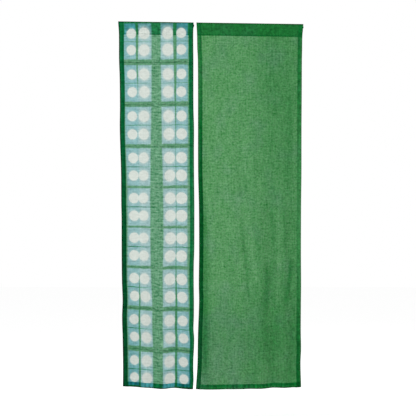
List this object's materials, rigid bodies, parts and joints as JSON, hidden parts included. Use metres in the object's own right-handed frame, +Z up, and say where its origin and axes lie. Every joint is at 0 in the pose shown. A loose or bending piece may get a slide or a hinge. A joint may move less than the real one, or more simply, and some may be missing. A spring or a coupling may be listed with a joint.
{
  "type": "noren curtain",
  "caption": "Noren doorway curtain of sheer green cloth: a narrow panel with pale dots on blue beside a wider plain panel, each with an open rod pocket along its top.",
  "frame": {"origin": "on the top edge of the curtain, midway between its outer sides", "axes": "+X to the right as seen from the front, -Y out of the front, +Z up"},
  "size_m": [0.8602, 0.0204, 1.7083],
  "materials": {
    "patterned_cloth": "sheer slubby plain weave, dyed in green bands and light blue fields with off-white dots, matte",
    "plain_cloth": "sheer slubby plain weave, dyed plain green, matte"
  },
  "bodies": {
    "root": {"left_heading": "patterned_cloth", "left_panel": "patterned_cloth", "right_heading": "plain_cloth", "right_panel": "plain_cloth"}
  },
  "joints": []
}
